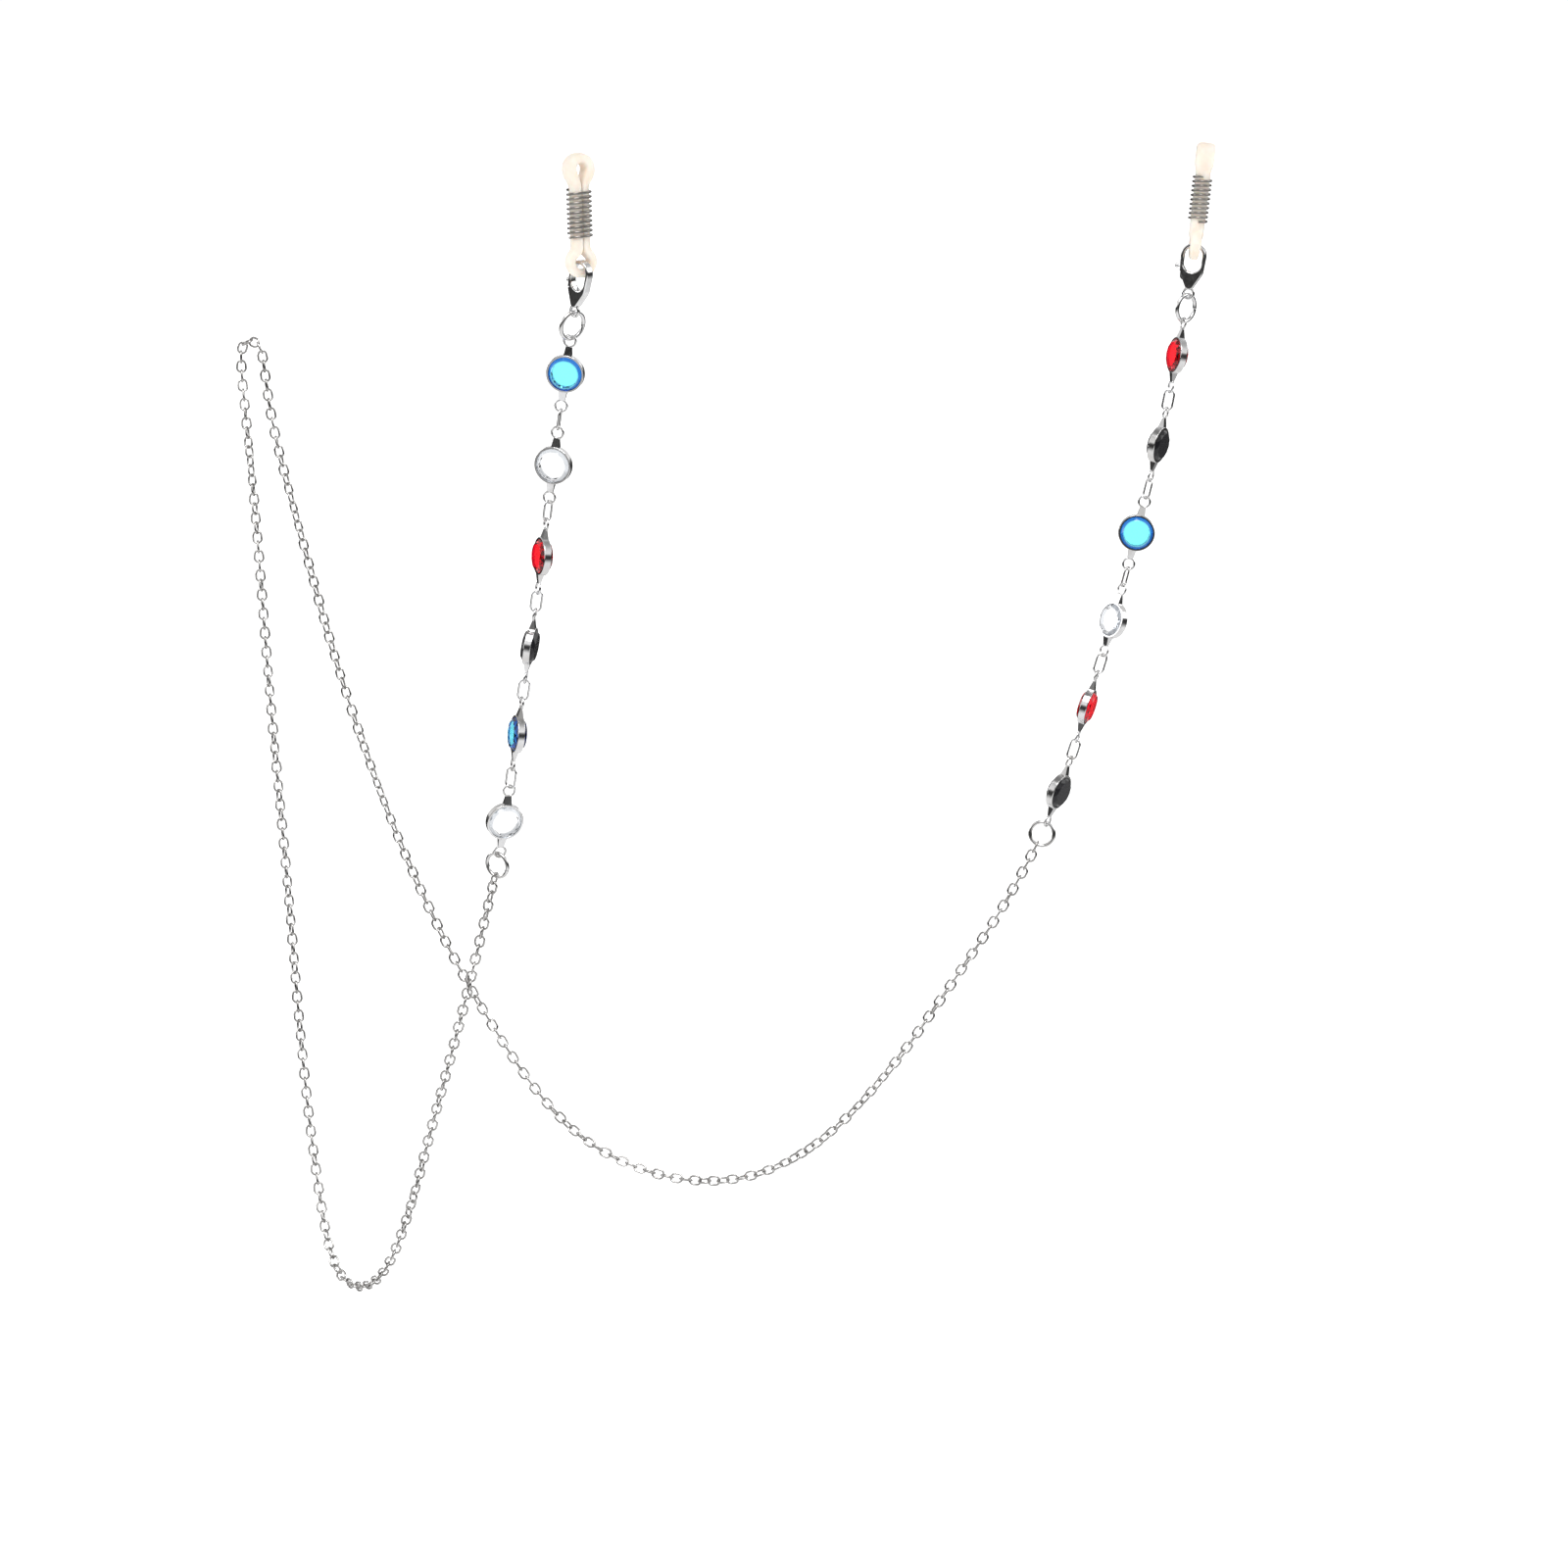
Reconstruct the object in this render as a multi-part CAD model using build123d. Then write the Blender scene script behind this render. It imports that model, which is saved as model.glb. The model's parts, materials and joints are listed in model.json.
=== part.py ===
from build123d import *
import math
import os

# Eyeglass retainer strap, worn by a pair of glasses and draped over one peg behind them.
# The left temple eye is the origin. +X runs across the glasses to the right temple, +Y runs back
# along the temples and +Z is up. Lengths are millimetres, angles are degrees.

# Where the strap hangs
RIGHT_EYE = Vector(134.0, 0, 1.0)  # the glasses sit a touch higher on the right
PEG = Vector(4.0, 131.0, 0)  # plan position of the peg that the chain hangs over

# Silicone temple loop: a flat band that a coil pinches into two eyes
EYE_BORE_R = 0.9
EYE_R = 2.75
EYE_WIDTH = 3.5
EYE_WIDE_DROP = 1.6  # the band keeps its full width down to here
NECK_TOP, NECK_BOTTOM = 3.35, 13.8  # the stretch inside the grip spring
NECK_HALF_X, NECK_HALF_Y = 1.87, 1.42
NECK_CORNER_R = 0.3
SLIT = 0.14
LOWER_EYE_R = 2.95
LOWER_HOLE_R = 1.35
LOWER_HOLE_TOP = 13.4
LOWER_WIDTH = 1.7
LOWER_EYE_DROP = 16.1
CLASP_DROP = LOWER_EYE_DROP + (LOWER_EYE_R + LOWER_HOLE_R) / 2

# Grip spring: an oval coil round the neck of the loop
GRIP_WIRE_R = 0.215
GRIP_PITCH = 0.84
GRIP_TURNS = 10
GRIP_HALF_X, GRIP_HALF_Y = 2.14, 1.69  # to the wire's centre

# Lobster clasp, about its swinging point inside the hook
CLASP_THICK, CLASP_FILLET = 1.5, 0.25
ARCH_R, HOLE_R = 2.35, 1.7
SHOULDER_R, SHOULDER_DROP = 2.2, 2.6
TIP_R, TIP_DROP = 0.85, 5.5
HOLE_DROP = 1.4
MOUTH_TOP, MOUTH_X = 0.5, 0.75
PIN_X, PIN_DROP, PIN_R = 1.2, 3.9, 0.3
HUB_R = 0.8
GATE_CLEARANCE = 0.08
CHEEK_R = 0.95
LEVER_THICK, SLOT_THICK = 0.78, 0.92
SLOT_X = -0.6  # the slot's floor, which the lever's spring stands on
SLOT_BOTTOM, SLOT_TOP = 5.3, 2.7
LEVER_BACK = (1.75, -2.3, 0.3)  # x, z and radius of the top of the lever's web
TAIL_X, TAIL_WIDTH = 0.85, 0.4
TAIL_BOTTOM, TAIL_TOP = 5.05, 4.05
KNOB_DROP, KNOB_R = 2.2, 0.42
KNOB_NECK_R, KNOB_REACH = 0.22, 0.5
BASE_RING_R, BASE_WIRE_R, BASE_RING_DROP = 0.95, 0.27, 7.05
LEVER_SPRING_R, LEVER_SPRING_WIRE_R, LEVER_SPRING_TURNS = 0.36, 0.07, 4
LEVER_SPRING_DROP = 4.75
LEVER_SPRING_PLAY = 0.02
RUNNING_CLEARANCE = 0.03

# Rings and links, by the radius of the wire's centre line
LOOP_PLAY = 0.08  # free play between two wires that hang in each other
CLASP_RING_R, CLASP_RING_WIRE_R = 2.5, 0.37
CHAIN_RING_R, CHAIN_RING_WIRE_R = 2.25, 0.35
RING_CUT = 0.1  # the saw cut that a jump ring is opened and closed at
LINK_R, LINK_HALF_LENGTH, LINK_WIRE_R = 0.91, 1.9, 0.19

# Crystal settings: a channel band with a wire loop on a tapered tab at each end
BAND_R = 3.4
BAND_WALL = 0.25
BAND_WIDTH = 1.3
BAND_FILLET = 0.12
LIP_R = 3.05
LIP_THICK = 0.18
SETTING_LOOP_R, SETTING_WIRE_R = 1.05, 0.2
SETTING_REACH = 7.05  # from the crystal's centre to the far wire of each loop
TAB_ROOT = (1.5, 1.2)  # across the band and along it
TAB_TIP = (1.1, 0.4)
CRYSTAL_SEAT_PLAY = 0.03
CRYSTAL_TABLE_R = 2.4
CRYSTAL_CROWN = 0.8
CRYSTAL_SIDES = 12
CRYSTALS = 6

# How each piece hangs, from the clasp to the chain ring. A lean tips the piece towards the peg.
# A facing is the compass angle of its flat side, from -Y towards +X.
PIECES = ["clasp", "clasp_ring"]
for number in range(1, CRYSTALS + 1):
    PIECES += [f"crystal_{number}", f"link_{number}"]
PIECES[-1] = "chain_ring"
LEFT_LEANS = [20, 19, 16, 16, 15, 14, 15, 16, 17, 18, 17, 16, 18, 24]
LEFT_FACINGS = [-76, 9, -40, 47, -47, 15, -102, -27, 48, -30, -107, -60, -12, -63]
RIGHT_LEANS = [8, 9, 11, 11, 13, 14, 14, 15, 16, 17, 17, 18, 20, 26]
RIGHT_FACINGS = [-44, 16, -104, -35, 33, -90, -32, 31, -86, -21, 43, -53, 30, -40]
LEFT_EYE_DOWN = Vector(0.03, 0, -1).normalized()
RIGHT_EYE_DOWN = Vector(-0.09, 0.06, -1).normalized()
LEFT_EYE_FACING, RIGHT_EYE_FACING = 0, 58

# Cable chain, as a tube of the links' width. The route goes from the left ring down, up over the
# peg, down again and up to the right ring, and its two ends follow from the rings.
CHAIN_R = 1.0
CHAIN_END_GAP = 0.3
CHAIN_ROUTE = [
    (0.9, 39.5, -144.0), (1.1, 48.5, -161.5), (1.3, 57.5, -178.0), (1.5, 65.5, -193.5),
    (1.8, 75.5, -207.0), (2.0, 87.0, -212.0), (2.1, 97.5, -209.0), (2.3, 104.0, -192.0),
    (2.4, 109.5, -170.0), (2.6, 115.5, -135.0), (2.8, 122.0, -104.0), (2.9, 127.5, -68.0),
    (3.0, 131.6, -49.0), (3.2, 133.8, -39.6), (3.1, 133.4, -34.6), (5.0, 129.0, -34.6),
    (5.4, 128.2, -40.6), (6.3, 126.9, -51.0), (9.6, 123.6, -68.5), (16.0, 117.2, -101.0),
    (24.5, 108.6, -133.5), (34.5, 98.6, -161.0), (46.0, 87.2, -184.0), (58.0, 75.6, -193.0),
    (70.5, 63.2, -194.3), (81.6, 52.0, -187.2), (91.8, 41.8, -172.0), (101.6, 32.2, -152.0),
    (108.2, 25.6, -138.0),
]


def ring(radius, wire_radius):
    """A round ring that stands in the XZ plane."""
    return Rot(90, 0, 0) * Torus(radius, wire_radius)


def jump_ring(radius, wire_radius):
    """A ring with a saw cut half way down one side."""
    return ring(radius, wire_radius) - Pos(-radius, 0, 0) * Box(
        4 * wire_radius, 4 * wire_radius, RING_CUT
    )


def plate(outline, thickness):
    """A sketch of the XZ plane, thickened evenly to both sides."""
    return extrude(Plane.XZ * outline, amount=thickness / 2, both=True)


def rounded_hull(*circles):
    """The outline stretched round circles, each given as x, z, radius."""
    sketch = Sketch() + [Pos(x, z) * Circle(radius) for x, z, radius in circles]
    return make_hull(sketch.edges())


def upright(point, up, facing):
    """The frame of a piece that hangs at a point, with its face turned to a compass angle."""
    out = Vector(math.sin(math.radians(facing)), -math.cos(math.radians(facing)), 0)
    out = (out - up * out.dot(up)).normalized()
    return Plane(origin=point, x_dir=out.cross(up), z_dir=up)


def silicone_loop():
    outer = Circle(EYE_R)
    outer += Pos(0, -NECK_BOTTOM / 2) * Rectangle(2 * NECK_HALF_X, NECK_BOTTOM)
    outer += rounded_hull(
        (-NECK_HALF_X + NECK_CORNER_R, -NECK_BOTTOM, NECK_CORNER_R),
        (NECK_HALF_X - NECK_CORNER_R, -NECK_BOTTOM, NECK_CORNER_R),
        (0, -LOWER_EYE_DROP, LOWER_EYE_R),
    )
    inner = Circle(EYE_BORE_R)
    inner += Pos(0, -NECK_BOTTOM / 2) * Rectangle(SLIT, NECK_BOTTOM)
    inner += rounded_hull((0, -LOWER_HOLE_TOP, SLIT / 2), (0, -LOWER_EYE_DROP, LOWER_HOLE_R))
    loop = plate(outer - inner, EYE_WIDTH)

    # seen from the side the band narrows from the temple eye down to the clasp
    half_side = [
        (0, EYE_R), (EYE_WIDTH / 2, EYE_R), (EYE_WIDTH / 2, -EYE_WIDE_DROP),
        (NECK_HALF_Y, -NECK_TOP), (NECK_HALF_Y, -NECK_BOTTOM),
        (LOWER_WIDTH / 2, -LOWER_EYE_DROP), (LOWER_WIDTH / 2, -LOWER_EYE_DROP - LOWER_EYE_R),
        (0, -LOWER_EYE_DROP - LOWER_EYE_R),
    ]
    side = make_face(Polyline(*half_side, close=True))
    side += mirror(side, about=Plane.YZ)
    loop &= extrude(Plane.YZ * side, amount=EYE_R + LOWER_EYE_R, both=True)

    # the coil squeezes the neck to its own oval
    neck_height = NECK_BOTTOM - NECK_TOP
    upward = (Align.CENTER, Align.CENTER, Align.MIN)
    neck = extrude(Ellipse(NECK_HALF_X, NECK_HALF_Y), amount=neck_height)
    neck -= Box(SLIT, EYE_WIDTH, neck_height, align=upward)
    cut = Box(2 * EYE_R, 2 * EYE_WIDTH, neck_height, align=upward)
    return loop - Pos(0, 0, -NECK_BOTTOM) * cut + Pos(0, 0, -NECK_BOTTOM) * neck


def grip_spring():
    """The coil is wound round and then pressed oval."""
    path = Helix(pitch=GRIP_PITCH, height=GRIP_PITCH * GRIP_TURNS, radius=GRIP_HALF_X)
    coil = sweep(Plane(origin=path @ 0, z_dir=path % 0) * Circle(GRIP_WIRE_R), path=path)
    coil = scale(coil, by=(1, GRIP_HALF_Y / GRIP_HALF_X, 1))
    return Pos(0, 0, -NECK_TOP - GRIP_WIRE_R - GRIP_PITCH * GRIP_TURNS) * coil


def clasp_shell():
    """The body and the lever's gate together, closed round the hole of the hook."""
    outline = rounded_hull(
        (0, 0, ARCH_R), (0, -SHOULDER_DROP, SHOULDER_R), (0, -TIP_DROP, TIP_R)
    )
    outline -= rounded_hull((0, 0, HOLE_R), (0, -HOLE_DROP, HOLE_R))
    shell = plate(outline, CLASP_THICK)
    return fillet(shell.edges().filter_by(Axis.Y, reverse=True), CLASP_FILLET)


def about_pin(radius):
    return Pos(PIN_X, -PIN_DROP) * Circle(radius)


def clasp_body():
    mouth = Pos(MOUTH_X, -PIN_DROP) * Rectangle(
        ARCH_R, PIN_DROP + MOUTH_TOP, align=(Align.MIN, Align.MIN)
    )
    body = clasp_shell() - plate(mouth - about_pin(CHEEK_R), CLASP_THICK)
    slot = Pos(SLOT_X, -SLOT_BOTTOM) * Rectangle(
        2 * ARCH_R, SLOT_BOTTOM - SLOT_TOP, align=(Align.MIN, Align.MIN)
    )
    body -= plate(slot, SLOT_THICK)
    body -= plate(about_pin(PIN_R), CLASP_THICK)
    return body + Pos(0, 0, -BASE_RING_DROP) * ring(BASE_RING_R, BASE_WIRE_R)


def clasp_lever():
    gate_bottom = -PIN_DROP + HUB_R
    gate = Pos(MOUTH_X + GATE_CLEARANCE, gate_bottom) * Rectangle(
        ARCH_R, MOUTH_TOP - GATE_CLEARANCE - gate_bottom, align=(Align.MIN, Align.MIN)
    )
    gate = clasp_shell() & plate(gate - about_pin(CHEEK_R + 2 * GATE_CLEARANCE), CLASP_THICK)
    web = rounded_hull((PIN_X, -PIN_DROP, HUB_R), LEVER_BACK)
    tail = Pos(TAIL_X, -TAIL_BOTTOM) * Rectangle(
        TAIL_WIDTH, TAIL_BOTTOM - TAIL_TOP, align=(Align.MIN, Align.MIN)
    )
    web = web + tail - about_pin(PIN_R + RUNNING_CLEARANCE)
    neck = Pos(ARCH_R, 0, -KNOB_DROP) * Rot(0, 90, 0) * Cylinder(KNOB_NECK_R, 2 * KNOB_REACH)
    knob = Pos(ARCH_R + KNOB_REACH, 0, -KNOB_DROP) * Sphere(KNOB_R)
    return gate + plate(web, LEVER_THICK) + neck + knob


def clasp_pin():
    return Pos(PIN_X, 0, -PIN_DROP) * Rot(90, 0, 0) * Cylinder(PIN_R, CLASP_THICK)


def clasp_spring():
    """A small coil that pushes the lever's tail out of the body."""
    margin = LEVER_SPRING_WIRE_R + LEVER_SPRING_PLAY
    length = TAIL_X - SLOT_X - 2 * margin
    path = Helix(pitch=length / LEVER_SPRING_TURNS, height=length, radius=LEVER_SPRING_R)
    coil = sweep(Plane(origin=path @ 0, z_dir=path % 0) * Circle(LEVER_SPRING_WIRE_R), path=path)
    return Pos(SLOT_X + margin, 0, -LEVER_SPRING_DROP) * Rot(0, 90, 0) * coil


def link():
    straight = LINK_HALF_LENGTH - LINK_R
    path = Wire(
        [
            Line((LINK_R, 0, -straight), (LINK_R, 0, straight)),
            ThreePointArc(
                (LINK_R, 0, straight), (0, 0, straight + LINK_R), (-LINK_R, 0, straight)
            ),
            Line((-LINK_R, 0, straight), (-LINK_R, 0, -straight)),
            ThreePointArc(
                (-LINK_R, 0, -straight), (0, 0, -straight - LINK_R), (LINK_R, 0, -straight)
            ),
        ]
    )
    return sweep(Plane(origin=(LINK_R, 0, 0), z_dir=(0, 0, 1)) * Circle(LINK_WIRE_R), path=path)


def setting():
    seat_r = BAND_R - BAND_WALL
    band = Cylinder(BAND_R, BAND_WIDTH) - Cylinder(LIP_R, BAND_WIDTH)
    band -= Cylinder(seat_r, BAND_WIDTH - 2 * LIP_THICK)
    rims = band.edges().filter_by(GeomType.CIRCLE).group_by(SortBy.RADIUS)[-1]
    shape = Rot(90, 0, 0) * fillet(rims, BAND_FILLET)
    tab_root = BAND_R - BAND_WALL + CRYSTAL_SEAT_PLAY
    tab_tip = SETTING_REACH - 2 * SETTING_LOOP_R
    tab = loft([Pos(0, 0, tab_root) * Rectangle(*TAB_ROOT), Pos(0, 0, tab_tip) * Rectangle(*TAB_TIP)])
    loop = Pos(0, 0, SETTING_REACH - SETTING_LOOP_R) * ring(SETTING_LOOP_R, SETTING_WIRE_R)
    return shape + [tab, loop, Rot(0, 180, 0) * tab, Rot(0, 180, 0) * loop]


def crystal():
    """A stone cut alike on both faces: a girdle in the channel and a crown through each lip."""
    girdle_r = BAND_R - BAND_WALL - CRYSTAL_SEAT_PLAY
    half_girdle = BAND_WIDTH / 2 - LIP_THICK - CRYSTAL_SEAT_PLAY
    stone = Cylinder(girdle_r, 2 * half_girdle)
    crown_r = LIP_R - CRYSTAL_SEAT_PLAY
    base = Pos(0, 0, half_girdle) * RegularPolygon(crown_r, CRYSTAL_SIDES)
    table = Pos(0, 0, half_girdle + CRYSTAL_CROWN) * RegularPolygon(CRYSTAL_TABLE_R, CRYSTAL_SIDES)
    crown = loft([base, table])
    stone += crown
    stone += Rot(180, 0, 0) * crown
    return Rot(90, 0, 0) * stone


def chain_tube(start, end):
    points = [start] + [Vector(*point) for point in CHAIN_ROUTE] + [end]
    runs = [(b - a).length for a, b in zip(points, points[1:])]
    radii = []
    for before, at, after, run_in, run_out in zip(points, points[1:], points[2:], runs, runs[1:]):
        turn = (at - before).get_angle(after - at)
        radii.append(0.45 * min(run_in, run_out) / math.tan(math.radians(turn / 2)))
    path = FilletPolyline(*points, radius=radii)
    tube = sweep(Plane(origin=path @ 0, z_dir=path % 0) * Circle(CHAIN_R), path=path)
    print("runs", [round(run, 1) for run in runs])
    print("radii", [round(radius, 1) for radius in radii])
    print(f"chain length {path.length:.1f}, volume {tube.volume:.1f},"
          f" section x length {math.pi * CHAIN_R ** 2 * path.length:.1f}")
    print("chain ends", tuple(start), tuple(end))
    return tube


# Each kind of piece as its solids, how far its top and bottom wires are from its own origin, and
# how thick those wires are.
KINDS = {
    "clasp": (
        {"clasp_body": clasp_body(), "clasp_pin": clasp_pin(), "clasp_spring": clasp_spring(),
         "clasp_lever": clasp_lever()},
        0, BASE_RING_DROP + BASE_RING_R, 0, BASE_WIRE_R,
    ),
    "clasp_ring": (
        {"clasp_ring": jump_ring(CLASP_RING_R, CLASP_RING_WIRE_R)},
        CLASP_RING_R, CLASP_RING_R, CLASP_RING_WIRE_R, CLASP_RING_WIRE_R,
    ),
    "crystal": (
        {"setting": setting(), "crystal": crystal()},
        SETTING_REACH, SETTING_REACH, SETTING_WIRE_R, SETTING_WIRE_R,
    ),
    "link": (
        {"link": link()}, LINK_HALF_LENGTH, LINK_HALF_LENGTH, LINK_WIRE_R, LINK_WIRE_R,
    ),
    "chain_ring": (
        {"chain_ring": jump_ring(CHAIN_RING_R, CHAIN_RING_WIRE_R)},
        CHAIN_RING_R, CHAIN_RING_R, CHAIN_RING_WIRE_R, CHAIN_RING_WIRE_R,
    ),
}

nodes = {}
hinge_lines = {}


def hang_strand(side, eye, eye_down, eye_facing, leans, facings):
    """Hangs one strand from its temple eye, each piece on the bottom wire of the one before."""
    at_eye = upright(eye, -eye_down, eye_facing)
    nodes[f"{side}_silicone_loop"] = at_eye.location * silicone_loop()
    nodes[f"{side}_grip_spring"] = at_eye.location * grip_spring()
    hinge_lines[f"{side}_grip"] = (eye, eye_down)
    hinge_lines[f"{side}_eye"] = (eye, at_eye.y_dir)

    to_peg = Vector(PEG.X - eye.X, PEG.Y - eye.Y, 0).normalized()
    pivot, axis, wire_above = eye + eye_down * CLASP_DROP, at_eye.x_dir, None
    for name, lean, facing in zip(PIECES, leans, facings):
        kind = name.rsplit("_", 1)[0] if name[-1].isdigit() else name
        number = "_" + name[-1] if name[-1].isdigit() else ""
        solids, reach_up, reach_down, wire_up, wire_down = KINDS[kind]
        tip = math.radians(lean)
        up = Vector(0, 0, math.cos(tip)) - to_peg * math.sin(tip)
        rise = 0 if wire_above is None else wire_above + wire_up + LOOP_PLAY
        frame = upright(pivot + up * (rise - reach_up), up, facing)
        for node, solid in solids.items():
            nodes[f"{side}_{node}{number}"] = frame.location * solid
        hinge_lines[f"{side}_{name}"] = (pivot, axis)
        if kind == "clasp":
            pin = frame.from_local_coords((PIN_X, 0, -PIN_DROP))
            hinge_lines[f"{side}_lever"] = (Vector(*pin), frame.y_dir)
        pivot, axis, wire_above = frame.origin - up * reach_down, frame.x_dir, wire_down
    return pivot - up * (wire_above + CHAIN_END_GAP)


left_end = hang_strand(
    "left", Vector(0, 0, 0), LEFT_EYE_DOWN, LEFT_EYE_FACING, LEFT_LEANS, LEFT_FACINGS
)
right_end = hang_strand(
    "right", RIGHT_EYE, RIGHT_EYE_DOWN, RIGHT_EYE_FACING, RIGHT_LEANS, RIGHT_FACINGS
)
nodes["cable_chain"] = chain_tube(left_end, right_end)

for name, (point, axis) in hinge_lines.items():
    print("hinge", name, [round(v, 4) for v in point], [round(v, 6) for v in axis])

os.makedirs("parts", exist_ok=True)
for name, solid in nodes.items():
    export_step(solid, f"parts/{name}.step")
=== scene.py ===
import json
import math
import random

import bmesh
import bpy
from mathutils import Matrix, Vector


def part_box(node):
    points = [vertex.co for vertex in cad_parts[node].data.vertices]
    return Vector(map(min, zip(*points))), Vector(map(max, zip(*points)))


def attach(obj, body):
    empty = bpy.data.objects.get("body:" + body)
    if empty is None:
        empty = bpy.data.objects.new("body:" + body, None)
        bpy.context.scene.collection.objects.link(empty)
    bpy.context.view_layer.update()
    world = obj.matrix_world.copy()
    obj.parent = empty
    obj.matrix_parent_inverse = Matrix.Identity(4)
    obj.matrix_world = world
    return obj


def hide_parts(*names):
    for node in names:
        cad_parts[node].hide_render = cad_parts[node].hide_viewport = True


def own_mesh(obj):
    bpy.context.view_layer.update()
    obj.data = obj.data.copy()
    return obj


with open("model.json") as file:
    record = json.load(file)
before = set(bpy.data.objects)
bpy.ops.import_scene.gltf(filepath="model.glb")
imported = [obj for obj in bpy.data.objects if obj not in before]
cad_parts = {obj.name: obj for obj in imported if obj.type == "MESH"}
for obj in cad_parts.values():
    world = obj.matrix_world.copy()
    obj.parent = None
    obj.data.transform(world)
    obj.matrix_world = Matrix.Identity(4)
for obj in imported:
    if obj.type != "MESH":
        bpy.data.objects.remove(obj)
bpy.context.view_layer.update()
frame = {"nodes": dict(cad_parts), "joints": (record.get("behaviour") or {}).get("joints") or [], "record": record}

MM = 0.001
SIDES = ("left", "right")
ROOT = "loops_and_chain"
JOINTS = {joint["name"]: joint for joint in frame["joints"]}
MOUNTS = {mount["name"]: mount for mount in frame["record"]["mounts"]}

# ---------------------------------------------------------------- camera, floor and light

CAMERA_AZIMUTH, CAMERA_ELEVATION = -32.0, 6.0
CAMERA_AT = Vector((-0.60792, -1.04062, 0.01867))
LENS, SENSOR = 157.95, 36.0
CLIP_NEAR, CLIP_FAR = 0.05, 60
FLOOR_Z, FLOOR_REACH = -0.262, 25
FLOOR_GREY, FLOOR_GLOW = 0.93, 0.45
BACKDROP_STRENGTH, STUDIO_STRENGTH = 1.05, 1.0
STUDIO_STOPS = [  # how bright the studio is from straight below (0) to straight above (1)
    (0.0, 0.92), (0.20, 0.95), (0.31, 0.35), (0.37, 0.06), (0.48, 0.03),
    (0.56, 0.12), (0.64, 0.95), (0.80, 0.80), (1.0, 0.22),
]
SUNS = [  # name, strength, angular size in degrees, and the way the light falls
    ("key", 1.5, 35, (0.45, 0.55, -1.0)),
    ("fill", 0.35, 30, (-0.8, 0.45, -0.35)),
    ("rim", 0.35, 25, (0.75, -0.6, -0.25)),
]


def make_camera():
    data = bpy.data.cameras.new("camera")
    data.lens = LENS
    data.sensor_width = SENSOR
    data.clip_start = CLIP_NEAR
    data.clip_end = CLIP_FAR
    camera = bpy.data.objects.new("camera", data)
    camera.location = CAMERA_AT
    camera.rotation_euler = (math.radians(90 - CAMERA_ELEVATION), 0, math.radians(CAMERA_AZIMUTH))
    bpy.context.scene.collection.objects.link(camera)
    bpy.context.scene.camera = camera


def make_sun(name, strength, spread, pointing):
    light = bpy.data.lights.new(name, "SUN")
    light.energy = strength
    light.angle = math.radians(spread)
    sun = bpy.data.objects.new(name, light)
    sun.rotation_euler = Vector(pointing).to_track_quat("-Z", "Y").to_euler()
    bpy.context.scene.collection.objects.link(sun)


def make_world():
    """White for what is looked at or through, and a graded studio for what is reflected."""
    world = bpy.data.worlds.new("studio")
    world.use_nodes = True
    tree = world.node_tree
    tree.nodes.clear()
    out = tree.nodes.new("ShaderNodeOutputWorld")
    mix = tree.nodes.new("ShaderNodeMixShader")
    path = tree.nodes.new("ShaderNodeLightPath")
    either = tree.nodes.new("ShaderNodeMath")
    either.operation = "MAXIMUM"
    plain = tree.nodes.new("ShaderNodeBackground")
    plain.inputs["Color"].default_value = (1, 1, 1, 1)
    plain.inputs["Strength"].default_value = BACKDROP_STRENGTH
    studio = tree.nodes.new("ShaderNodeBackground")
    studio.inputs["Strength"].default_value = STUDIO_STRENGTH
    where = tree.nodes.new("ShaderNodeTexCoord")
    split = tree.nodes.new("ShaderNodeSeparateXYZ")
    height = tree.nodes.new("ShaderNodeMapRange")
    height.inputs["From Min"].default_value = -1
    ramp = tree.nodes.new("ShaderNodeValToRGB")
    ramp.color_ramp.elements.remove(ramp.color_ramp.elements[1])
    for place, _ in STUDIO_STOPS[1:]:
        ramp.color_ramp.elements.new(place)
    for element, (place, value) in zip(ramp.color_ramp.elements, STUDIO_STOPS):
        element.position = place
        element.color = (value, value, value, 1)
    tree.links.new(where.outputs["Generated"], split.inputs[0])
    tree.links.new(split.outputs["Z"], height.inputs["Value"])
    tree.links.new(height.outputs["Result"], ramp.inputs["Fac"])
    tree.links.new(ramp.outputs["Color"], studio.inputs["Color"])
    tree.links.new(path.outputs["Is Camera Ray"], either.inputs[0])
    tree.links.new(path.outputs["Is Transmission Ray"], either.inputs[1])
    tree.links.new(either.outputs[0], mix.inputs[0])
    tree.links.new(studio.outputs[0], mix.inputs[1])
    tree.links.new(plain.outputs[0], mix.inputs[2])
    tree.links.new(mix.outputs[0], out.inputs[0])
    bpy.context.scene.world = world


def make_floor():
    mesh = bpy.data.meshes.new("floor")
    corners = [
        (x * FLOOR_REACH, y * FLOOR_REACH, FLOOR_Z) for x, y in ((-1, -1), (1, -1), (1, 1), (-1, 1))
    ]
    mesh.from_pydata(corners, [], [(0, 1, 2, 3)])
    floor = bpy.data.objects.new("floor", mesh)
    bpy.context.scene.collection.objects.link(floor)
    material = bpy.data.materials.new("floor")
    material.use_nodes = True
    surface = material.node_tree.nodes["Principled BSDF"]
    surface.inputs["Base Color"].default_value = (FLOOR_GREY, FLOOR_GREY, FLOOR_GREY, 1)
    surface.inputs["Roughness"].default_value = 1.0
    surface.inputs["Specular IOR Level"].default_value = 0.0
    surface.inputs["Emission Color"].default_value = (1, 1, 1, 1)
    surface.inputs["Emission Strength"].default_value = FLOOR_GLOW
    mesh.materials.append(material)
    floor.visible_glossy = False  # metal mirrors the graded studio instead


bpy.context.scene.view_settings.view_transform = "Standard"
make_camera()
make_world()
make_floor()
for sun in SUNS:
    make_sun(*sun)

# ---------------------------------------------------------------- materials

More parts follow.
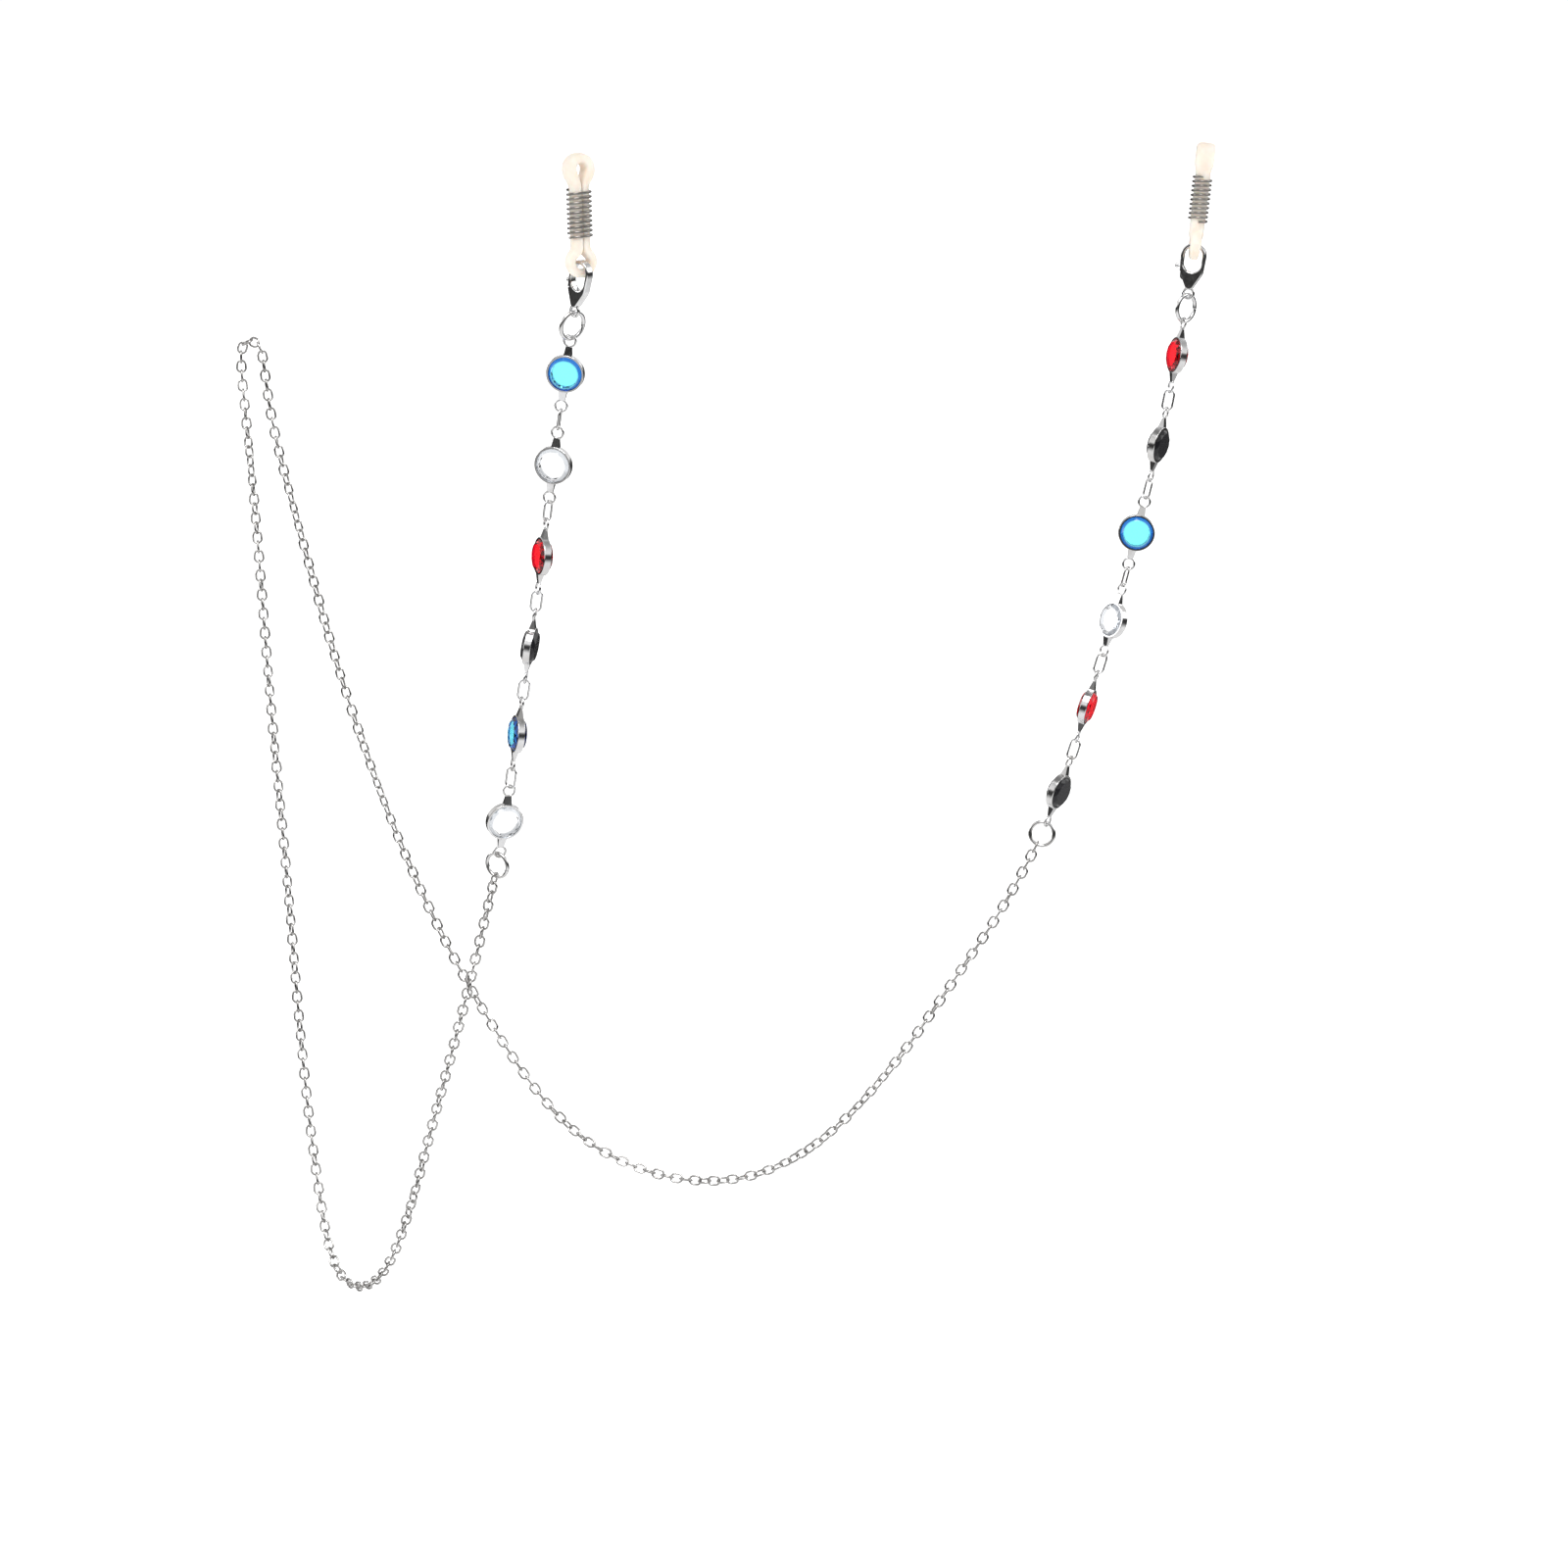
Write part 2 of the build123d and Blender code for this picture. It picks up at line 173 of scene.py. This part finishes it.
TARNISH_SCALE, CLOUD_SCALE, GRAIN_SCALE, POLISH_SCALE = 260.0, 420.0, 2600.0, 900.0
DENT_STRENGTH, GRAIN_STRENGTH, BUMP_HEIGHT = 0.06, 0.05, 0.02 * MM
SILICONE_IOR, GLASS_IOR = 1.41, 1.56
CRYSTAL_FADE_R = 3.2 * MM  # the radius at the far end of a crystal's colour ramp
CRYSTAL_HEART, CRYSTAL_SHADED_RIM = 0.7, 0.8  # shares of that radius where the heart turns into the darker rim colour, which is painted shade


def new_material(name):
    material = bpy.data.materials.new(name)
    material.use_nodes = True
    tree = material.node_tree
    return material, tree, tree.nodes["Principled BSDF"]


def noise(tree, scale, detail=3.0, coordinates="Object"):
    where = tree.nodes.new("ShaderNodeTexCoord")
    texture = tree.nodes.new("ShaderNodeTexNoise")
    texture.inputs["Scale"].default_value = scale
    texture.inputs["Detail"].default_value = detail
    tree.links.new(where.outputs[coordinates], texture.inputs["Vector"])
    return texture


def ramped(tree, source, stops):
    ramp = tree.nodes.new("ShaderNodeValToRGB")
    while len(ramp.color_ramp.elements) < len(stops):
        ramp.color_ramp.elements.new(0.5)
    for element, (place, colour) in zip(ramp.color_ramp.elements, stops):
        element.position = place
        element.color = (*colour, 1)
    tree.links.new(source, ramp.inputs["Fac"])
    return ramp.outputs["Color"]


def spread_over(tree, source, low, high, from_low=0.3, from_high=0.7):
    span = tree.nodes.new("ShaderNodeMapRange")
    span.inputs["From Min"].default_value = from_low
    span.inputs["From Max"].default_value = from_high
    span.inputs["To Min"].default_value = low
    span.inputs["To Max"].default_value = high
    tree.links.new(source, span.inputs["Value"])
    return span.outputs["Result"]


def bumped(tree, surface, source, strength, distance):
    bump = tree.nodes.new("ShaderNodeBump")
    bump.inputs["Strength"].default_value = strength
    bump.inputs["Distance"].default_value = distance
    tree.links.new(source, bump.inputs["Height"])
    tree.links.new(bump.outputs["Normal"], surface.inputs["Normal"])


def silver(name, light, dark, smooth, rough, wear_scale):
    """Plated silver: faint tarnish in the colour, handling marks in the gloss, and tiny dents."""
    material, tree, surface = new_material(name)
    surface.inputs["Metallic"].default_value = 1.0
    tarnish = noise(tree, TARNISH_SCALE)
    colour = ramped(tree, tarnish.outputs["Fac"], [(0.35, dark), (0.62, light)])
    tree.links.new(colour, surface.inputs["Base Color"])
    marks = noise(tree, wear_scale, 5.0)
    tree.links.new(
        spread_over(tree, marks.outputs["Fac"], smooth, rough), surface.inputs["Roughness"]
    )
    bumped(tree, surface, marks.outputs["Fac"], DENT_STRENGTH, BUMP_HEIGHT)
    return material


def silicone():
    """Milky rubber: light gets in and spreads, with faint clouds and a fine grain."""
    material, tree, surface = new_material("milky_silicone")
    surface.inputs["IOR"].default_value = SILICONE_IOR
    surface.inputs["Transmission Weight"].default_value = 0.08
    surface.inputs["Subsurface Weight"].default_value = 0.6
    surface.inputs["Subsurface Scale"].default_value = 0.0015
    surface.inputs["Subsurface Radius"].default_value = (1.0, 0.75, 0.55)
    cloud = noise(tree, CLOUD_SCALE)
    colour = ramped(
        tree, cloud.outputs["Fac"], [(0.3, (0.85, 0.75, 0.65)), (0.7, (0.92, 0.86, 0.78))]
    )
    tree.links.new(colour, surface.inputs["Base Color"])
    grain = noise(tree, GRAIN_SCALE, 2.0)
    tree.links.new(
        spread_over(tree, grain.outputs["Fac"], 0.28, 0.42), surface.inputs["Roughness"]
    )
    bumped(tree, surface, grain.outputs["Fac"], GRAIN_STRENGTH, BUMP_HEIGHT)
    return material


def crystal(name, heart, rim, transmission=1.0, gloss=0.5):
    """Cut glass with painted shade at its rim: the colour turns darker and deeper towards the edge, standing in
    for the light crossing more of the stone there.
    """
    material, tree, surface = new_material(name)
    surface.inputs["IOR"].default_value = GLASS_IOR
    surface.inputs["Specular IOR Level"].default_value = gloss
    surface.inputs["Transmission Weight"].default_value = transmission
    where = tree.nodes.new("ShaderNodeTexCoord")
    flat = tree.nodes.new("ShaderNodeVectorMath")
    flat.operation = "MULTIPLY"
    flat.inputs[1].default_value = (1, 1, 0)
    radius = tree.nodes.new("ShaderNodeVectorMath")
    radius.operation = "LENGTH"
    tree.links.new(where.outputs["Object"], flat.inputs[0])
    tree.links.new(flat.outputs["Vector"], radius.inputs[0])
    share = spread_over(tree, radius.outputs["Value"], 0, 1, 0, CRYSTAL_FADE_R)
    # painted shade: the colour darkens from the heart to the rim
    colour = ramped(tree, share, [(CRYSTAL_HEART, heart), (CRYSTAL_SHADED_RIM, rim)])
    tree.links.new(colour, surface.inputs["Base Color"])
    polish = noise(tree, POLISH_SCALE, 2.0)
    tree.links.new(
        spread_over(tree, polish.outputs["Fac"], 0.0, 0.03), surface.inputs["Roughness"]
    )
    return material


SILVER = silver("silver_plate", (0.84, 0.84, 0.85), (0.7, 0.69, 0.68), 0.08, 0.2, 1500.0)
STEEL = silver("spring_steel", (0.4, 0.38, 0.36), (0.27, 0.255, 0.24), 0.1, 0.2, 2200.0)
CHAIN_SILVER = silver("chain_silver", (0.62, 0.61, 0.6), (0.48, 0.47, 0.46), 0.12, 0.26, 1800.0)
SILICONE = silicone()
# each crystal's heart colour, then its darker rim colour, which is painted shade at the stone's edge
CRYSTALS = {
    "crystal_blue": crystal("aqua_crystal", (0.2, 0.87, 0.97), (0.001, 0.025, 0.25)),
    "crystal_clear": crystal("clear_crystal", (0.98, 0.98, 0.98), (0.32, 0.34, 0.37)),
    "crystal_red": crystal("ruby_crystal", (1.0, 0.02, 0.03), (0.6, 0.0, 0.01)),
    "crystal_black": crystal("jet_crystal", (0.02, 0.02, 0.022), (0.01, 0.01, 0.012), 0.0, 0.3),
}
SLOT_OF = {part["node"]: part["material_slot"] for part in frame["record"]["subparts"]}

# ---------------------------------------------------------------- cable chain

CHAIN_ROUTE = [  # in mm, from the left chain ring over the peg to the right chain ring
    (1.57, 33.485, -128.228),
    (0.9, 39.5, -144.0), (1.1, 48.5, -161.5), (1.3, 57.5, -178.0), (1.5, 65.5, -193.5),
    (1.8, 75.5, -207.0), (2.0, 87.0, -212.0), (2.1, 97.5, -209.0), (2.3, 104.0, -192.0),
    (2.4, 109.5, -170.0), (2.6, 115.5, -135.0), (2.8, 122.0, -104.0), (2.9, 127.5, -68.0),
    (3.0, 131.6, -49.0), (3.2, 133.8, -39.6), (3.1, 133.4, -34.6), (5.0, 129.0, -34.6),
    (5.4, 128.2, -40.6), (6.3, 126.9, -51.0), (9.6, 123.6, -68.5), (16.0, 117.2, -101.0),
    (24.5, 108.6, -133.5), (34.5, 98.6, -161.0), (46.0, 87.2, -184.0), (58.0, 75.6, -193.0),
    (70.5, 63.2, -194.3), (81.6, 52.0, -187.2), (91.8, 41.8, -172.0), (101.6, 32.2, -152.0),
    (108.2, 25.6, -138.0),
    (111.655, 21.96, -128.077),
]
CHAIN_WIRE_R = 0.2 * MM
LINK_HALF_LENGTH, LINK_HALF_WIDTH = 1.12 * MM, 0.825 * MM  # to the wire's centre
LINK_PITCH = 2 * (LINK_HALF_LENGTH - CHAIN_WIRE_R)
LINK_SEGMENTS, WIRE_SEGMENTS = 24, 10
RING_REACH = 1.0 * MM  # from the end of the route to where the ring carries the end link
ROUTE_ORDER, ROUTE_RESOLUTION = 3, 24
CHAIN_FACES = Vector((0.53, 0.85, 0.0))  # level, along the line of sight from the front
THREADED_LINKS = 12  # links over which the chain turns into the plane of a ring's end link
# how much of its wander a link passes on, what it adds to it, and its own play, in radians
WANDER_KEEPS, WANDER_ADDS, LINK_PLAY = 0.93, 0.09, 0.22
CHAIN_SEED = 7


def spline_line(points):
    """The points of a smooth line that has these as its control points."""
    curve = bpy.data.curves.new("route", "CURVE")
    curve.dimensions = "3D"
    spline = curve.splines.new("NURBS")
    spline.points.add(len(points) - 1)
    for point, place in zip(spline.points, points):
        point.co = (*place, 1)
    spline.order_u = ROUTE_ORDER
    spline.use_endpoint_u = True
    spline.resolution_u = ROUTE_RESOLUTION
    guide = bpy.data.objects.new("route", curve)
    mesh = bpy.data.meshes.new_from_object(guide)
    line = [vertex.co.copy() for vertex in mesh.vertices]
    bpy.data.objects.remove(guide)
    bpy.data.meshes.remove(mesh)
    return line


class Along:
    """Places along a line by the length from its start, asked for in order."""

    def __init__(self, line):
        self.line = line
        self.at = [0.0]
        for a, b in zip(line, line[1:]):
            self.at.append(self.at[-1] + (b - a).length)
        self.length = self.at[-1]
        self.step = 0

    def point(self, distance):
        while self.step < len(self.at) - 2 and self.at[self.step + 1] < distance:
            self.step += 1
        low, high = self.at[self.step], self.at[self.step + 1]
        start, end = self.line[self.step : self.step + 2]
        return start.lerp(end, (distance - low) / (high - low))


def box_centre(node):
    low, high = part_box(node)
    return (low + high) / 2


def ring_frame(side):
    """The upward direction and the normal of a chain ring."""
    centre = box_centre(f"{side}_chain_ring")
    up = (Vector(JOINTS[f"{side}_chain_ring_swing"]["pos_m"]) - centre).normalized()
    points = [v.co - centre for v in frame["nodes"][f"{side}_chain_ring"].data.vertices]
    normal = min((p.cross(up) for p in points), key=lambda n: n.length)
    flat = max(points, key=lambda p: (p - up * p.dot(up)).length)
    across = (flat - up * flat.dot(up)).normalized()
    return up, across.cross(up).normalized()


def link_mesh(build, centre, along, across):
    """One oval wire link, in the plane of along and across."""
    normal = along.cross(across).normalized()
    straight = LINK_HALF_LENGTH - LINK_HALF_WIDTH
    rows = []
    for i in range(LINK_SEGMENTS):
        turn = 2 * math.pi * (i + 0.5) / LINK_SEGMENTS
        outward = along * math.cos(turn) + across * math.sin(turn)
        shift = straight if math.cos(turn) > 0 else -straight
        middle = centre + along * shift + outward * LINK_HALF_WIDTH
        row = []
        for j in range(WIRE_SEGMENTS):
            angle = 2 * math.pi * j / WIRE_SEGMENTS
            offset = outward * math.cos(angle) + normal * math.sin(angle)
            row.append(build.verts.new(middle + offset * CHAIN_WIRE_R))
        rows.append(row)
    for row, following in zip(rows, rows[1:] + rows[:1]):
        for j in range(WIRE_SEGMENTS):
            k = (j + 1) % WIRE_SEGMENTS
            face = build.faces.new((row[j], row[k], following[k], following[j]))
            face.smooth = True


def make_chain():
    """The cable chain's links, threaded through the chain rings at both ends."""
    line = spline_line([Vector(point) * MM for point in CHAIN_ROUTE])
    (left_up, left_normal), (right_up, right_normal) = ring_frame("left"), ring_frame("right")
    whole = [line[0] + left_up * RING_REACH] + line + [line[-1] + right_up * RING_REACH]
    along = Along(whole)
    count = round(along.length / LINK_PITCH)
    pitch = along.length / count
    joints = [along.point(pitch * i) for i in range(count + 1)]

    # a frame that is carried along the line without twisting, one for each link
    carried = []
    across = left_normal
    for a, b in zip(joints, joints[1:]):
        direction = (b - a).normalized()
        across = (across - direction * across.dot(direction)).normalized()
        carried.append((direction, across))
    direction, across = carried[-1]
    target = (right_normal - direction * right_normal.dot(direction)).normalized()
    # what the last link still has to turn, after a quarter turn for each link, to fit its ring
    left_over = math.atan2(across.cross(target).dot(direction), across.dot(target))
    left_over -= (count - 1) * math.pi / 2
    left_over = (left_over + math.pi / 2) % math.pi - math.pi / 2

    # away from the rings, every other link faces the front, give or take its own wander
    flat_to = []
    angle = 0.0
    for direction, across in carried:
        lie = (CHAIN_FACES - direction * CHAIN_FACES.dot(direction)).normalized()
        turn = math.atan2(across.cross(lie).dot(direction), across.dot(lie))
        angle += (turn - angle + math.pi / 4) % (math.pi / 2) - math.pi / 4
        flat_to.append(angle)
    left_over += round((flat_to[-1] - left_over) / math.pi) * math.pi

    draw = random.Random(CHAIN_SEED)
    build = bmesh.new()
    wander = 0.0
    for i, ((direction, across), a, b) in enumerate(zip(carried, joints, joints[1:])):
        near_start = max(0.0, 1 - i / THREADED_LINKS)
        near_end = max(0.0, 1 - (count - 1 - i) / THREADED_LINKS)
        free = 1 - near_start - near_end
        wander = WANDER_KEEPS * wander + draw.gauss(0, WANDER_ADDS)
        twist = i * math.pi / 2 + left_over * near_end + flat_to[i] * free
        twist += free * (wander + draw.uniform(-LINK_PLAY, LINK_PLAY))
        turned = Matrix.Rotation(twist, 3, direction) @ across
        link_mesh(build, (a + b) / 2, direction, turned)
    mesh = bpy.data.meshes.new("cable_chain_links")
    build.to_mesh(mesh)
    build.free()
    mesh.materials.append(CHAIN_SILVER)
    chain = bpy.data.objects.new("cable_chain_links", mesh)
    bpy.context.scene.collection.objects.link(chain)
    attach(chain, ROOT)
    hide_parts("cable_chain")
    Along(line).length


make_chain()

# ---------------------------------------------------------------- silicone loops

LOOP_HALF = [  # right half of the band's centre line, in the plane of the loop, from the top down
    (0.0, 1.825), (0.7, 1.686), (1.29, 1.29), (1.69, 0.7), (1.825, 0.0), (1.74, -0.7),
    (1.47, -1.45), (1.17, -2.3), (1.0, -3.1), (0.97, -4.0), (0.97, -5.5), (0.97, -7.5),
    (0.97, -9.5), (0.97, -11.5), (0.97, -13.0), (0.98, -13.9), (1.32, -14.6), (1.82, -15.3),
    (2.1, -15.95), (2.1, -16.6), (1.84, -17.25), (1.3, -17.86), (0.65, -18.17), (0.0, -18.25),
]
# height, thickness in the loop's plane, width along the bore, and how far the coil squeezes it
LOOP_SECTIONS = [
    (2.0, 1.85, 3.4, 0.0), (-1.2, 1.82, 3.4, 0.0), (-3.2, 1.8, 2.84, 1.0),
    (-13.95, 1.8, 2.84, 1.0), (-15.4, 1.64, 2.1, 0.0), (-18.5, 1.6, 1.7, 0.0),
]
LOOP_STEPS, LOOP_ROUND = 5, 40  # steps between two points of the line, and points round the band
BAND_SQUARE = 3.2  # the power of the band's section, where 2 would be an ellipse
CORNER_SHARP = 7  # the sharper, the less the squeezed band's inner corners are rounded


def section_at(height):
    """Thickness, width and squeeze of the band, eased from one of LOOP_SECTIONS to the next."""
    for (top, *high), (bottom, *low) in zip(LOOP_SECTIONS, LOOP_SECTIONS[1:]):
        if height >= bottom:
            share = min(1, max(0, (height - bottom) / (top - bottom)))
            share = share * share * (3 - 2 * share)
            return [a + (b - a) * share for a, b in zip(low, high)]
    return LOOP_SECTIONS[-1][1:]


def section_radius(angle, thickness, width, squeezed):
    """How far the band's skin is from its centre line, at an angle from straight outwards."""
    c, s = math.cos(angle), math.sin(angle)
    soft = abs(2 * c / thickness) ** BAND_SQUARE + abs(2 * s / width) ** BAND_SQUARE
    soft **= -1 / BAND_SQUARE
    # half of an oval, with its flat side against the other strand
    a, b = (c / thickness) ** 2 + (2 * s / width) ** 2, c / thickness
    oval = (-b + math.sqrt(b * b + 3 * a)) / (2 * a)
    if c < 0:
        inside = -thickness / 2 / c
        oval = (oval ** -CORNER_SHARP + inside ** -CORNER_SHARP) ** (-1 / CORNER_SHARP)
    return soft + (oval - soft) * squeezed


def smooth_closed(points, steps):
    """A closed Catmull-Rom line through the points."""
    line = []
    count = len(points)
    for i in range(count):
        p0, p1, p2, p3 = (points[(i + k) % count] for k in (-1, 0, 1, 2))
        for step in range(steps):
            t = step / steps
            line.append(
                0.5 * (2 * p1 + (p2 - p0) * t + (2 * p0 - 5 * p1 + 4 * p2 - p3) * t * t
                       + (3 * p1 - 3 * p2 + p3 - p0) * t ** 3)
            )
    return line


def make_loop(side):
    """The silicone band, closed into a temple eye, a squeezed neck and a lower eye."""
    mount = MOUNTS[f"{side}_temple_eye"]
    origin, bore = Vector(mount["pos_m"]), Vector(mount["axis"]).normalized()
    down = Vector(JOINTS[f"{side}_grip_slide"]["axis"]).normalized()
    across = down.cross(bore).normalized()
    half = [Vector(point) for point in LOOP_HALF]
    other = [Vector((-point.x, point.y)) for point in half[-2:0:-1]]
    line = smooth_closed(half + other, LOOP_STEPS)
    build = bmesh.new()
    rows = []
    for i, point in enumerate(line):
        tangent = (line[(i + 1) % len(line)] - line[i - 1]).normalized()
        outward = Vector((-tangent.y, tangent.x))
        sizes = section_at(point.y)
        row = []
        for j in range(LOOP_ROUND):
            angle = 2 * math.pi * j / LOOP_ROUND
            radius = section_radius(angle, *sizes)
            flat = point + outward * radius * math.cos(angle)
            place = across * flat.x - down * flat.y + bore * radius * math.sin(angle)
            row.append(build.verts.new(origin + place * MM))
        rows.append(row)
    for row, following in zip(rows, rows[1:] + rows[:1]):
        for j in range(LOOP_ROUND):
            k = (j + 1) % LOOP_ROUND
            face = build.faces.new((row[j], row[k], following[k], following[j]))
            face.smooth = True
    bmesh.ops.recalc_face_normals(build, faces=build.faces)
    mesh = bpy.data.meshes.new(f"{side}_silicone_band")
    build.to_mesh(mesh)
    build.free()
    mesh.materials.append(SILICONE)
    loop = bpy.data.objects.new(f"{side}_silicone_band", mesh)
    bpy.context.scene.collection.objects.link(loop)
    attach(loop, ROOT)
    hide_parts(f"{side}_silicone_loop")


for side in SIDES:
    make_loop(side)

# ---------------------------------------------------------------- crystals

CUTS = 12
# radius and height in mm, out from the flat table to the girdle that the setting holds
TABLE_R, TABLE_H = 2.39, 1.235
MIDDLE_R = 2.78
CROWN_R, CROWN_H = 3.0, 0.45
GIRDLE_R, GIRDLE_H = 3.11, 0.44
SHELF_DROP = 0.01
CRYSTALS_A_SIDE = 6


def crystal_crown(build, flip):
    """One face of the stone, the back half a cut round. Returns the girdle's vertices."""
    slope = (TABLE_H - CROWN_H) / (CROWN_R - TABLE_R)
    middle_h = TABLE_H - slope * (MIDDLE_R * math.cos(math.pi / CUTS) - TABLE_R)

    def ring(radius, height, count, offset=0.0):
        corners = []
        for i in range(count):
            turn = 2 * math.pi * (i + offset) / count + (math.pi / CUTS if flip < 0 else 0)
            place = (radius * math.cos(turn), radius * math.sin(turn), height * flip)
            corners.append(build.verts.new(Vector(place) * MM))
        return corners

    table = ring(TABLE_R, TABLE_H, CUTS)
    middle = ring(MIDDLE_R, middle_h, CUTS, 0.5)
    crown = ring(CROWN_R, CROWN_H, 2 * CUTS)
    shelf = ring(GIRDLE_R, CROWN_H - SHELF_DROP, 2 * CUTS)
    girdle = ring(GIRDLE_R, GIRDLE_H * 0.5, 2 * CUTS)
    build.faces.new(table)
    for i in range(CUTS):
        j = (i + 1) % CUTS
        half, end = 2 * i + 1, (2 * i + 2) % (2 * CUTS)
        build.faces.new((table[i], table[j], middle[i]))
        build.faces.new((table[i], middle[i], crown[2 * i], middle[i - 1]))
        build.faces.new((middle[i], crown[2 * i], crown[half]))
        build.faces.new((middle[i], crown[half], crown[end]))
    for i in range(2 * CUTS):
        j = (i + 1) % (2 * CUTS)
        build.faces.new((crown[i], crown[j], shelf[j], shelf[i]))
        build.faces.new((shelf[i], shelf[j], girdle[j], girdle[i]))
    return girdle


def make_crystal_mesh():
    build = bmesh.new()
    front, back = crystal_crown(build, 1), crystal_crown(build, -1)
    back = back[-1:] + back[:-1]  # so that its vertices match the front's
    for i in range(len(front)):
        j = (i + 1) % len(front)
        build.faces.new((front[i], front[j], back[j], back[i]))
    bmesh.ops.recalc_face_normals(build, faces=build.faces)
    mesh = bpy.data.meshes.new("cut_crystal")
    build.to_mesh(mesh)
    build.free()
    return mesh


def make_crystal(side, number, shape):
    """One stone in its setting, turned to line up with the pivot below it."""
    node = f"{side}_crystal_{number}"
    below = f"link_{number}" if number < CRYSTALS_A_SIDE else "chain_ring"
    joint = JOINTS[f"{side}_{below}_swing"]
    centre = box_centre(node)
    up = (centre - Vector(joint["pos_m"])).normalized()
    across = Vector(joint["axis"]).normalized()
    mesh = shape.copy()
    mesh.materials.append(CRYSTALS[SLOT_OF[node]])
    piece = bpy.data.objects.new(f"{side}_cut_crystal_{number}", mesh)
    facing = across.cross(up)
    turned = Matrix((across, up, facing)).transposed().to_4x4()
    piece.matrix_world = Matrix.Translation(centre) @ turned
    bpy.context.scene.collection.objects.link(piece)
    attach(piece, f"{side}_crystal_{number}")
    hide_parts(node)


crystal_shape = make_crystal_mesh()
for side in SIDES:
    for number in range(1, CRYSTALS_A_SIDE + 1):
        make_crystal(side, number, crystal_shape)
bpy.data.meshes.remove(crystal_shape)

# ---------------------------------------------------------------- metal pieces


def make_lever_coil(side):
    """The coil behind the lever's tail, a spring steel copy of the part, carried with the clasp."""
    node = f"{side}_clasp_spring"
    top, bottom, pin = (
        Vector(JOINTS[f"{side}_{name}"]["pos_m"])
        for name in ("clasp_swing", "clasp_ring_swing", "lever_open")
    )
    down = (bottom - top).normalized()
    outward = pin - top
    outward = (outward - down * outward.dot(down)).normalized()
    mesh = frame["nodes"][node].data.copy()
    mesh.materials.clear()
    mesh.materials.append(STEEL)
    coil = bpy.data.objects.new(f"{side}_lever_coil", mesh)
    bpy.context.scene.collection.objects.link(coil)
    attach(coil, f"{side}_clasp")
    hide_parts(node)
    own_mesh(coil)


def repaint(node, material):
    for slot in frame["nodes"][node].material_slots:
        slot.material = material


for side in SIDES:
    make_lever_coil(side)
for name in frame["nodes"]:
    if "spring" in name:
        repaint(name, STEEL)
    elif "crystal" not in name and "silicone" not in name and name != "cable_chain":
        repaint(name, SILVER)

bpy.context.view_layer.update()
